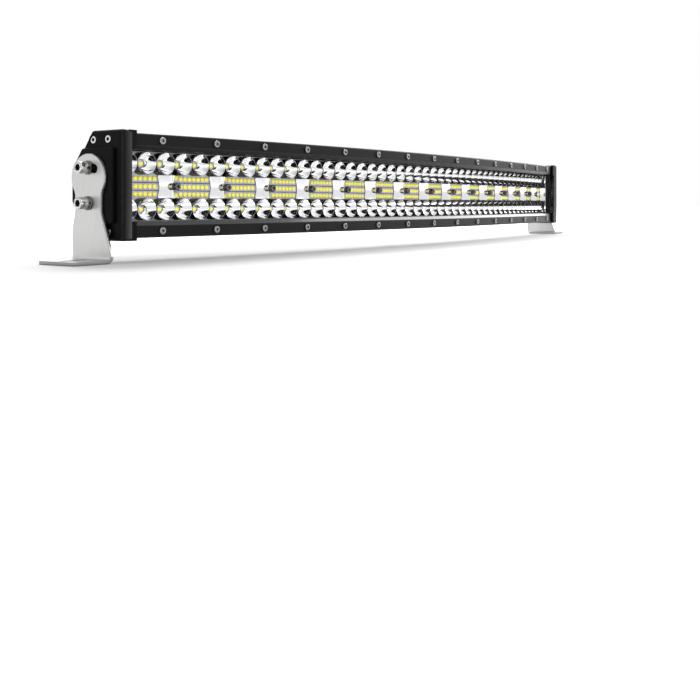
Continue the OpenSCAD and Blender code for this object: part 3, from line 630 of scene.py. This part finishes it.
def screw(head_r, head_h, crown, socket_r, socket_h, shank_r, shank_l):
    """A socket screw along its axis, from the bottom of the socket over the crowned head to the tip."""
    lead, foot, tip = 0.12 * mm, 0.15 * mm, 0.4 * mm
    return [[socket_h - head_h, 0.25 * socket_r, 1], [socket_h - head_h - 0.1 * mm, socket_r, 1],
            [-head_h + lead, socket_r, 1], [-head_h, 1.12 * socket_r, 0.8], [-head_h, 1.2 * socket_r, 0.3],
            [-head_h, head_r - crown, 0], [-head_h + 0.13 * crown, head_r - 0.5 * crown, 0],
            [-head_h + 0.5 * crown, head_r - 0.13 * crown, 0], [-head_h + crown, head_r, 0],
            [-foot, head_r, 0], [0, head_r - foot, 0], [0, shank_r, 0], [shank_l - tip, shank_r, 0],
            [shank_l, shank_r - tip, 0]]


def socketed(rings):
    """A screw's skin with its socket's walls and floor in groups of their own, and the groups' finishes: the
    second finish, on the socket, is painted shade.
    """
    points, (quads, socket_floor, tip) = skin(rings)
    socket = 2 * rings.shape[1]
    return points, [quads[:socket], quads[socket:], socket_floor, tip], [1, 0, 1, 0]


def screws_in_modules(name, angles, heights, depth, levels, material, nodes, n=24):
    """A row of screws square to the sweep at each height."""
    points, faces, kinds = socketed(turned(levels, n)[..., [1, 0, 2]])
    shell = copied(points, faces, [(0, depth, h) for h in heights], angles)
    piece(name, [(*shell, kinds)], [material, dark_plate_and_socket_shade], "bar", nodes)


screws_in_modules("reflector_screw_heads", (np.arange(1, modules) - modules / 2) * module_a, [0.0],
                  reflector_s - 0.18 * mm,
                  screw(head_r=2.75 * mm, head_h=4.2 * mm, crown=0.5 * mm, socket_r=1.3 * mm, socket_h=2 * mm,
                        shank_r=1.5 * mm, shank_l=cup_h), dark_plate_and_socket_shade, ["reflector_screws"])

# Lens and its gaskets: a clear polycarbonate sheet, curved with the bar, that lies on two silicone
# strips in the housing's seat and is clamped by the bezels.
silicone = grained("black_silicone", (0.012, 0.012, 0.012), (0.03, 0.03, 0.03), cycles=1600,
                   rough=0.6, span=0.2, depth=1e-5, Specular_IOR_Level=0.25)
clear_lens = grained("clear_polycarbonate", (0.03, 0.035, 0.04), (0.06, 0.065, 0.07), cycles=60,
                     rough=0.02, span=0.06, Alpha=0.035, Specular_IOR_Level=0.5)


def swept_bar(loop, half_x):
    """A section loop of (depth, height) carried along the bar between stations -half_x and half_x."""
    x = np.linspace(-half_x, half_x, sweep_n)
    return skin(on_sweep(loop[None, :, 0], loop[None, :, 1], x[:, None]))


lens_back, sheet_z, gasket_in, end_gap = 6.5 * mm, 30.35 * mm, 27 * mm, 0.5 * mm
gaskets = [box_loop(lens_back, seat_s, -sheet_z, -gasket_in), box_loop(lens_back, seat_s, gasket_in, sheet_z)]
piece("lens_gasket_strips", [(*swept_bar(loop, end_x - end_gap), 0) for loop in gaskets], [silicone], "bar",
      ["lens_gaskets"])
sheet = swept_bar(box_loop(bezel_t, lens_back, -sheet_z, sheet_z), end_x - end_gap)
piece("front_lens_sheet", [(*sheet, 0)], [clear_lens], "bar", ["front_lens"])

# Bezels: two black powder-coated aluminium strips, cut with a bevelled inner lip. They are screwed to the
# housing over the lens's edges.
bezel_black = black_metal("bezel_powder_coat", (0.0065, 0.0065, 0.0073), (0.045, 0.045, 0.049), rough=0.36,
                          grain=(40, 1400, 1400), depth=6e-6)
bezel_z, bezel_edge, bezel_r, bevel_s, bevel_h = 25.5 * mm, 0.8 * mm, 0.35 * mm, 1.8 * mm, 2.8 * mm
bezel_section = np.array([[0, half_h - bezel_edge], [bezel_edge, half_h], [bezel_t, half_h],
                          [bezel_t, bezel_z], [bevel_s, bezel_z], [0, bezel_z + bevel_h]])
bevel_from, bevel_to = 30, 39
for name, side, gloss in (("upper_bezel", 1, 0.15), ("lower_bezel", -1, 1.0)):
    loop = rounded(bezel_section * np.array([1, side]), bezel_r, 4)
    points, faces = swept_bar(loop, end_x)
    # Middle points of each rounded corner: marked edge, for the paler colour that is part wear and part
    # painted highlight.
    edge = np.tile([0, 0, 1, 1, 1, 0, 0], len(points) // 7)
    lip = np.zeros((sweep_n, len(loop)))
    lip[:, bevel_from:bevel_to] = gloss
    piece(name + "_strip", [(points, faces, 0)], [bezel_black], "bar", [name],
          marks={"edge": edge, "lip": lip.ravel()})

# Bezel screws: stainless button heads with hex sockets, cold-headed and left dull, one above and one
# below each module. They pull the bezels down on the lens.
screw_z = 32.5 * mm


def screw_stainless(name, dark, bright):
    """Stainless screw heads whose grain runs from a dark to a bright grey, with a faint warmth."""
    return grained(name, (dark, dark, 0.985 * dark), (bright, bright, 0.985 * bright), cycles=1200,
                   rough=0.12, span=0.2, depth=4e-6, Metallic=1.0)


screws_in_modules("bezel_screw_heads", module_angles, [-screw_z, screw_z], 0.0,
                  screw(head_r=2.75 * mm, head_h=1.65 * mm, crown=0.75 * mm, socket_r=1.35 * mm,
                        socket_h=1.3 * mm, shank_r=1.5 * mm, shank_l=9 * mm),
                  screw_stainless("dull_screw_stainless", 0.20, 0.34), ["bezel_screws"])

# End caps: black powder-coated aluminium castings over a silicone gasket. A rounded post with a lip closes
# the front, and a raised pad carries the bracket; each cap has four counterbores for its socket screws.
pivot_y, pivot_z, bolt_gap = 4.1 * mm, 42 * mm, 25 * mm
cap_front, cap_taper_y, cap_back = -24.4 * mm, 6.6 * mm, 25.6 * mm
cap_half_h, cap_tip_z = 39 * mm, 12.4 * mm
cap_x0, cap_x1, boss_x = 382 * mm, 392 * mm, 394.7 * mm
cap_black = black_metal("cap_powder_coat", (0.0025, 0.0025, 0.0027), (0.03, 0.03, 0.032), rough=0.42,
                        grain=1100, depth=1.2e-5, sheen=0.06)
sides = {"left": -1, "right": 1}


def cap_loop(inset, front=0.0, top=None):
    """Outline (y, height) of a cap drawn in by the inset, or of its pad with its own front and top."""
    y0, y1, y2 = cap_front + inset + front, cap_taper_y - 0.6 * inset, cap_back - inset
    z0, z1 = cap_half_h - inset, cap_tip_z - 0.3 * inset
    if top is not None:
        y1 = y1 + (z0 - top) / (z0 - z1) * (y2 - y1)
        z0 = top
    return rounded([[y0, z0], [y1, z0], [y2, z1], [y2, -z1], [y1, -z0], [y0, -z0]], 1.6 * mm, 4)


def at_end(side, distance, loop):
    """Points (y, height) of an outline stood at a distance from the bar's middle, on its left or right."""
    distance, y, height = np.broadcast_arrays(distance, loop[..., 0], loop[..., 1])
    return np.stack([side * distance, y, mid_z + height], -1)


def edge_round(radius, steps=4):
    """(drop, inset) pairs of a quarter circle from a side wall up to a face, with a holding pair."""
    a = np.linspace(0, np.pi / 2, steps + 1)
    quarter = np.stack([radius * (1 - np.sin(a)), radius * (1 - np.cos(a))], 1)
    return np.concatenate([quarter, [[0, 1.25 * radius]]])


ring_n = 32
circle = np.linspace(0, 2 * np.pi, ring_n, endpoint=False)
ring_loop = np.stack([np.cos(circle), np.sin(circle)], 1)
cap_screws_at = [np.array([y, z]) for y in (-9.8 * mm, 5.2 * mm) for z in (-screw_z, screw_z)]
bore_r, bore_h = 3.3 * mm, 3 * mm
bore_levels = ((0, 3.8 * mm), (0, 3.6 * mm), (0.3 * mm, bore_r), (bore_h, bore_r))
boss_inset, boss_front, boss_top, boss_sink = 1.5 * mm, 5 * mm, 26.5 * mm, 0.5 * mm
lip_reach, lip_root, lip_t, lip_gap, lip_r = 4.4 * mm, 3 * mm, 2.3 * mm, 0.02 * mm, 0.5 * mm
lip_loop = box_loop(cap_x0 + lip_root, cap_x0 - lip_reach, cap_front + lip_gap, cap_front + lip_t, lip_r, 4)
rear_edge, front_edge, boss_edge = edge_round(0.6 * mm)[-2::-1], edge_round(2.2 * mm, 5), edge_round(0.9 * mm)
cap_levels = [(cap_x0 + drop, inset) for drop, inset in rear_edge]
cap_levels += [(cap_x1 - drop, inset) for drop, inset in front_edge]
boss_levels = [(cap_x1 - boss_sink, 0.0)] + [(boss_x - drop, inset) for drop, inset in boss_edge]
for name, side in sides.items():
    cap_rings = np.stack([at_end(side, x, cap_loop(inset)) for x, inset in cap_levels])
    n = cap_rings.shape[1]
    points, faces = skin(cap_rings, ends=False)
    face_loops = [cap_loop(cap_levels[-1][1])] + [c + bore_levels[0][1] * ring_loop for c in cap_screws_at]
    face_points = np.concatenate([at_end(side, cap_x1, loop) for loop in face_loops])
    shells = [(points, faces + [np.arange(n)[None]], 0), (face_points, filled(face_loops), 0)]
    for c in cap_screws_at:
        bore = np.stack([at_end(side, cap_x1 - drop, c + r * ring_loop) for drop, r in bore_levels])
        points, faces = skin(bore, ends=False)
        shells.append((points, faces + [(len(bore) - 1) * ring_n + np.arange(ring_n)[None]], 0))
    boss_rings = np.stack([at_end(side, x, cap_loop(boss_inset + inset, boss_front, boss_top - inset))
                           for x, inset in boss_levels])
    shells.append((*skin(boss_rings), 0))
    for z0, z1 in ((-cap_half_h, -bezel_z), (bezel_z, cap_half_h)):
        heights = np.array([z0 + lip_gap, z1 - lip_gap])[:, None]
        lip_rings = np.broadcast_arrays(side * lip_loop[None, :, 0], lip_loop[None, :, 1], mid_z + heights)
        shells.append((*skin(np.stack(lip_rings, -1)), 0))
    # Rows 1 to 3, the middle of the rounding round the cap's outer face, are marked edge for the paler colour
    # that is part wear and part painted highlight.
    row = np.arange(sum(len(points) for points, faces, kind in shells)) // n - len(rear_edge)
    piece(name + "_end_casting", shells, [cap_black], "bar", [name + "_end_cap"],
          marks={"edge": (row >= 1) & (row < 4), "lip": row < 0})
    dress(silicone, name + "_cap_gasket")

# Cap screws: bright stainless socket heads, polished, and sunk in the caps' counterbores. They go through
# the gasket into the screw channels of the housing.
screw_steel = screw_stainless("bright_screw_stainless", 0.50, 0.70)


def pins_at_end(side, x0, levels, places, n=ring_n):
    """Screws along X at an end: offset 0 lies at x0 from the middle and runs inwards."""
    points, faces, kinds = socketed(turned(levels, n))
    copies = np.stack([np.stack([side * (x0 - points[:, 0]), y + points[:, 1], z + points[:, 2]], -1)
                       for y, z in places])
    return (*repeated(copies, faces), kinds)


cap_screw = screw(head_r=2.75 * mm, head_h=2.8 * mm, crown=0.4 * mm, socket_r=1.5 * mm, socket_h=2.2 * mm,
                  shank_r=1.5 * mm, shank_l=19 * mm)
for name, side in sides.items():
    shell = pins_at_end(side, cap_x1 - bore_h, cap_screw, [(y, mid_z + z) for y, z in cap_screws_at])
    piece(name + "_cap_socket_screws", [shell], [screw_steel, dark_plate_and_socket_shade], "bar", [name + "_cap_screws"])

# Brackets: stainless plate cut to an outline with a pivot hole, a curved tilt slot and a foot slot, then
# brushed and bent to an L. The head turns on the pivot bolt and is clamped by the tilt bolt.
plate_x0, plate_t, bend_r = 395 * mm, 2.5 * mm, 2.5 * mm
head_r, head_c, waist, neck_r = 17 * mm, 18 * mm, 13.3 * mm, 8 * mm
neck_y = waist + neck_r
neck_z = head_c - math.sqrt((head_r + neck_r) ** 2 - neck_y ** 2)
neck_a = math.atan2(head_c - neck_z, neck_y)
bend_v, bend_l = bend_r + plate_t - pivot_z, (bend_r + plate_t / 2) * math.pi / 2
foot_v, foot_l = bend_v - bend_l, 29 * mm
foot_end, foot_front, foot_back = foot_v - foot_l, -23.7 * mm, 15.5 * mm
waist_v, hip_v, hip_y = -6.3 * mm, -19.3 * mm, 16.8 * mm


def arc(centre, radius, start, stop, steps):
    """Points on a circle from one angle to another."""
    a = np.linspace(start, stop, steps)
    return np.stack([centre[0] + radius * np.cos(a), centre[1] + radius * np.sin(a)], 1)


def drawn_in(loop, inset):
    """A closed outline moved by the inset along its own normals, to the left of its run."""
    run = np.roll(loop, -1, 0) - np.roll(loop, 1, 0)
    run = run / np.linalg.norm(run, axis=1)[:, None]
    return loop + inset * np.stack([-run[:, 1], run[:, 0]], 1)


lower_steps = 6
lower = rounded([[-waist, -1 * mm], [-waist, waist_v], [foot_front, bend_v], [foot_front, foot_end],
                 [foot_back, foot_end], [foot_back, bend_v], [hip_y, hip_v], [waist, waist_v],
                 [waist, -1 * mm]], np.array([0.2, 6, 3, 5, 5, 3, 5, 6, 0.2]) * mm, lower_steps)
corner_n = lower_steps + 3
blank = np.concatenate([lower[corner_n:-corner_n],
                        arc((neck_y, neck_z), neck_r, math.pi, math.pi - neck_a, 10)[:-1],
                        arc((0, head_c), head_r, -neck_a, math.pi + neck_a, 56),
                        arc((-neck_y, neck_z), neck_r, neck_a, 0, 10)[1:]])
tilt, slot_slack = math.radians(15), 0.3 * mm
stop_a = tilt + slot_slack / bolt_gap
slot_r, bolt_hole_r, foot_slot_r = 3 * mm, 2.55 * mm, 3.25 * mm
up = math.pi / 2
slot_tips = [(bolt_gap * math.cos(up + a), bolt_gap * math.sin(up + a)) for a in (-stop_a, stop_a)]
tilt_slot = np.concatenate([arc((0, 0), bolt_gap - slot_r, up - stop_a, up + stop_a, 20),
                            arc(slot_tips[1], slot_r, up + stop_a + math.pi, up + stop_a, 12)[1:-1],
                            arc((0, 0), bolt_gap + slot_r, up + stop_a, up - stop_a, 20),
                            arc(slot_tips[0], slot_r, up - stop_a, up - stop_a - math.pi, 12)[1:-1]])
slot_v, slot_end = foot_v - 14 * mm, 7.75 * mm
foot_slot = np.concatenate([arc((-pivot_y, slot_v - slot_end), foot_slot_r, 2 * math.pi, math.pi, 14),
                            arc((-pivot_y, slot_v + slot_end), foot_slot_r, math.pi, 0, 14)])
pivot_hole = arc((0, 0), bolt_hole_r, 2 * math.pi, 2 * math.pi / 40, 40)
blank_loops = [blank, pivot_hole, tilt_slot, foot_slot]

stainless, steel_shader, steel_place = finish("brushed_stainless", Metallic=1.0)
laid = steel_place.node("Attribute", {"attribute_name": "blank"}, out="Vector")
brush, soft = cloud(laid, (2600, 45, 900), 3), cloud(laid, (28, 14, 28))
laid_along, laid_through = laid.node("SeparateXYZ", {}, {"Vector": laid}, out=("Y", "Z"))
from_core = abs(laid_through - plate_t / 2)
core_t, arris_t = 1.0 * mm, 1.24 * mm
# Painted light on the cut edges: the upright plate's cut faces are near white as a painted highlight, and the
# foot's are a darker grey as painted shade. The rounded arris between cut and face is a dark line of painted
# shade.
cut_edge, arris = from_core < core_t, (from_core > core_t) * (from_core < arris_t)
cut_edge_highlight_and_shade = between(laid_along > bend_v, (0.30, 0.30, 0.297), (0.90, 0.90, 0.89))
brushed = between(brush * 0.6 + soft * 0.4, (0.40, 0.40, 0.395), (0.66, 0.66, 0.655))
feed(steel_shader, Base_Color=between(arris, between(cut_edge, brushed, cut_edge_highlight_and_shade), (0.16, 0.16, 0.158)),
     Roughness=brush * 0.22 + soft * 0.08 + 0.17, Normal=relief(brush, 4e-6))


def bent(points):
    """Blank points (across, along, through) bent to the L: round the bend by (bend_v - along) / bend_l of
    90° at radius r = bend_r + plate_t - through, and straight on before and after it."""
    across, along, through = points.T
    turn = np.clip((bend_v - along) / bend_l, 0, 1) * math.pi / 2
    r = bend_r + plate_t - through
    x = plate_x0 + plate_t + bend_r - r * np.cos(turn) + np.maximum(foot_v - along, 0)
    z = plate_t + bend_r - r * np.sin(turn) + np.maximum(along - bend_v, 0)
    return np.stack([x, pivot_y + across, z], 1)


def at_level(loop, inset, through):
    """An outline of the blank, drawn in, at a level through its thickness."""
    return np.column_stack([drawn_in(loop, inset), np.full(len(loop), through)])


edge_soft, bend_n, weld = 0.3 * mm, 9, 1e-7
levels = [(1.6 * edge_soft, 0.0), (edge_soft, 0.0), (0.3 * edge_soft, 0.3 * edge_soft), (0.0, edge_soft)]
levels += [(inset, plate_t - through) for inset, through in levels[::-1]]
shells = [(*skin(np.stack([at_level(loop, *level) for level in levels]), ends=False), 0)
          for loop in blank_loops]
for level in (levels[0], levels[-1]):
    fills = filled([drawn_in(loop, level[0]) for loop in blank_loops])
    shells.append((np.concatenate([at_level(loop, *level) for loop in blank_loops]), fills, 0))
points, faces, kinds = joined(shells)
flat_mesh = bpy.data.meshes.new("bracket_blank")
flat_mesh.from_pydata(points.tolist(), [], faces)
plate = bmesh.new()
plate.from_mesh(flat_mesh)
bmesh.ops.remove_doubles(plate, verts=plate.verts, dist=weld)
for share in np.linspace(0, 1, bend_n):
    bmesh.ops.bisect_plane(plate, geom=plate.verts[:] + plate.edges[:] + plate.faces[:], dist=weld,
                           plane_co=(0, bend_v - share * bend_l, 0), plane_no=(0, 1, 0))
plate.to_mesh(flat_mesh)
plate.free()
flat = np.empty(len(flat_mesh.vertices) * 3)
flat_mesh.vertices.foreach_get("co", flat)
flat = flat.reshape(-1, 3)
corner, start, size = (np.empty(n, int) for n in (len(flat_mesh.loops), *[len(flat_mesh.polygons)] * 2))
flat_mesh.loops.foreach_get("vertex_index", corner)
flat_mesh.polygons.foreach_get("loop_start", start)
flat_mesh.polygons.foreach_get("loop_total", size)
groups = [corner[start[size == n][:, None] + np.arange(n)] for n in np.unique(size)]
bpy.data.meshes.remove(flat_mesh)
for name, side in sides.items():
    piece(name + "_bracket_plate", [(bent(flat) * np.array([side, 1, 1]), groups, 0)], [stainless],
          name + "_bracket", [name + "_bracket"], marks={"blank": flat})

# Bracket bolts: stainless cap screws with a knurled head and a hex socket, each over a split spring
# washer and a flat washer. The lower one is the pivot and the upper one runs in the tilt slot.
bolt_steel, bolt_shader, bolt_place = finish("bolt_stainless", Metallic=1.0)
bolt_grain = cloud(bolt_place, (60, 1500, 1500), 3)
feed(bolt_shader, Roughness=bolt_grain * 0.15 + 0.06, Normal=relief(bolt_grain, 1e-5),
     Base_Color=between(ramp(bolt_grain, 0.35, 0.65), (0.26, 0.26, 0.255), (0.78, 0.78, 0.77)))
spring_steel = grained("spring_steel", (0.12, 0.12, 0.118), (0.34, 0.34, 0.33), cycles=900,
                       rough=0.2, span=0.25, Metallic=1.0)
washer_x, spring_x, head_x, thread_x = 397.8 * mm, 398.8 * mm, 400.2 * mm, 384 * mm
washer_r0, washer_r1, spring_r1, washer_soft = 2.65 * mm, 5 * mm, 4.4 * mm, 0.2 * mm
bolt_z = {"pivot": pivot_z, "tilt": pivot_z + bolt_gap}
bolt = screw(head_r=4.25 * mm, head_h=6.5 * mm, crown=0.55 * mm, socket_r=2.6 * mm, socket_h=3.5 * mm,
             shank_r=2.5 * mm, shank_l=head_x - thread_x)
bolt_n, split_n, split_half, split_r = 48, 44, 0.5 * mm, 3.5 * mm
whole_turn = np.linspace(0, 2 * np.pi, bolt_n, endpoint=False)
split_a = math.asin(split_half / split_r)
split_turn = math.pi + np.linspace(split_a, 2 * np.pi - split_a, split_n)


def washer(side, x0, x1, outer_r, turn, z):
    """Rings of a washer's softened section from x0 to x1, one for each angle of the turn round a bolt."""
    x, r = box_loop(x0, x1, washer_r0, outer_r, washer_soft).T
    turn = turn[:, None]
    return np.stack([side * x + 0 * turn, pivot_y + r * np.cos(turn), z + r * np.sin(turn)], -1)


for name, side in sides.items():
    for kind, z in bolt_z.items():
        piece("%s_%s_cap_bolt" % (name, kind), [pins_at_end(side, head_x, bolt, [(pivot_y, z)], bolt_n)],
              [bolt_steel, dark_plate_and_socket_shade], "bar", ["%s_%s_bolt" % (name, kind)])
    flats = [(*skin(washer(side, washer_x, spring_x, washer_r1, whole_turn, z), round_again=True), 0)
             for z in bolt_z.values()]
    springs = [(*skin(washer(side, spring_x, head_x, spring_r1, split_turn, z)), 0) for z in bolt_z.values()]
    piece(name + "_flat_washers", flats, [spring_steel], "bar", [name + "_washers"])
    piece(name + "_split_washers", springs, [spring_steel], "bar", [name + "_spring_washers"])

# Cable gland and breather vent: moulded black nylon with rubber seals, screwed into the back wall in
# pockets milled through the fins. The supply lead is passed through the gland when the bar is fitted.
nylon = grained("moulded_nylon", (0.010, 0.010, 0.0105), (0.024, 0.024, 0.025), cycles=1800,
                rough=0.38, span=0.2, depth=1e-5, Specular_IOR_Level=0.35)


def gland_part(name, levels, material, node, n=48):
    """A turned piece of the gland from rows of (offset in mm, radius in mm, flatness), closed on itself,
    with its axis through the middle of the back wall."""
    levels = np.array(levels) * [mm, mm, 1]
    points, faces = skin(turned(levels, n)[..., [1, 0, 2]], round_again=True)
    shell = copied(points, faces, [0, back_s, 0], [0.0])
    piece(name, [(*shell, 0)], [material], "bar", [node], sharp=30)


gland_part("gland_threaded_body", [
    [-3, 3.3, 0], [-3, 5.8, 0], [-2.8, 6, 0], [0, 6, 0], [0, 8.2, 1], [0.4, 8.6, 1], [3.6, 8.6, 1],
    [4, 8.2, 1], [4, 5.5, 0], [11.7, 5.5, 0], [12, 5.2, 0], [12, 4.5, 0], [6, 4.5, 0], [6, 3.3, 0]],
    nylon, "gland_body")
gland_part("gland_rubber_seal", [
    [6, 3.3, 0], [6, 4.5, 0], [12.8, 4.5, 0], [13, 4.3, 0], [13, 3.5, 0], [12.8, 3.3, 0]],
    silicone, "gland_seal")
gland_part("gland_dome_nut", [
    [4.5, 5.6, 0], [4.5, 7.6, 1], [4.9, 8.1, 1], [9.2, 8.1, 1], [9.6, 7.4, 0.6], [9.8, 7, 0], [11.5, 7, 0],
    [12.6, 6.75, 0], [13.6, 6.2, 0], [14.5, 5.4, 0], [15, 4.6, 0], [15, 3.9, 0], [14.7, 3.6, 0],
    [13.1, 3.6, 0], [13.1, 5.6, 0]], nylon, "gland_nut")
dress(nylon, "breather_vent")
dress(silicone, "vent_seal")
